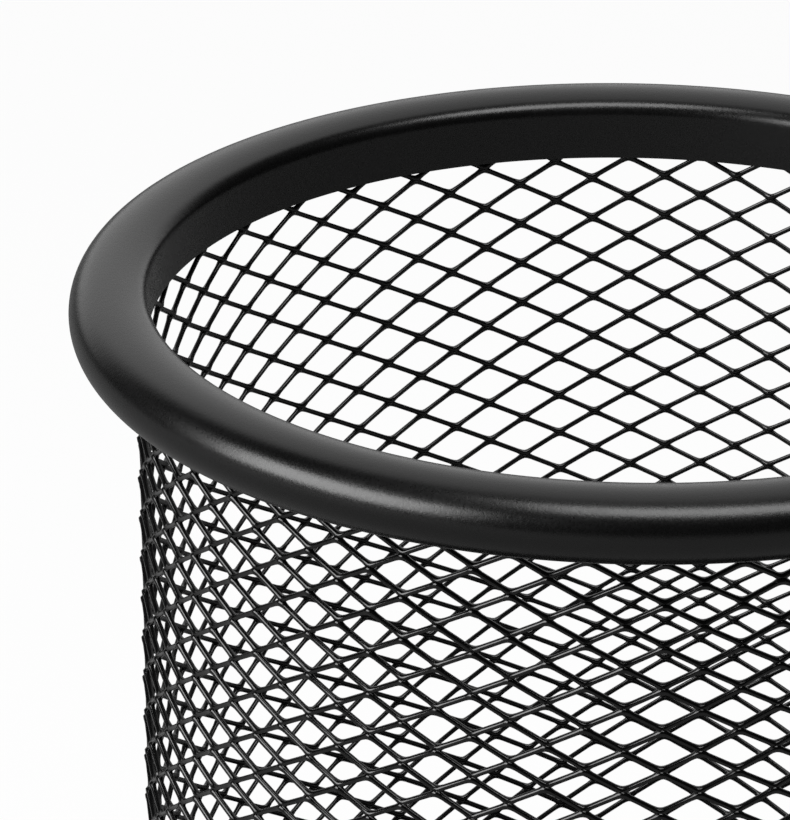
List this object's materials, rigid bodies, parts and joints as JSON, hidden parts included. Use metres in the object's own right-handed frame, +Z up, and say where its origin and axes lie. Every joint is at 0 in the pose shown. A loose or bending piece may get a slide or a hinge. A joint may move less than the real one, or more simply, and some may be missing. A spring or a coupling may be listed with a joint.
{
  "type": "pencil cup",
  "caption": "Round open-top desk cup for pens and pencils: a black expanded-mesh wall crimped between a rolled top rim and a pressed base on soft foot pads.",
  "frame": {"origin": "middle of the cup's footprint, on the desk under the foot pads", "axes": "+Z up along the cup's axis and out of its mouth; the pictured side faces -Y"},
  "size_m": [0.0938, 0.0938, 0.1002],
  "materials": {
    "rim_coat": "satin black powder coat on steel sheet",
    "mesh_coat": "satin black powder coat on expanded steel",
    "pan_coat": "satin black powder coat on steel sheet",
    "pad_foam": "matte black closed-cell foam rubber"
  },
  "bodies": {
    "root": {"top_rim": "rim_coat", "mesh_wall": "mesh_coat", "base_ring": "rim_coat", "base_pan": "pan_coat", "foot_pad_1": "pad_foam", "foot_pad_2": "pad_foam", "foot_pad_3": "pad_foam", "foot_pad_4": "pad_foam"}
  },
  "joints": []
}
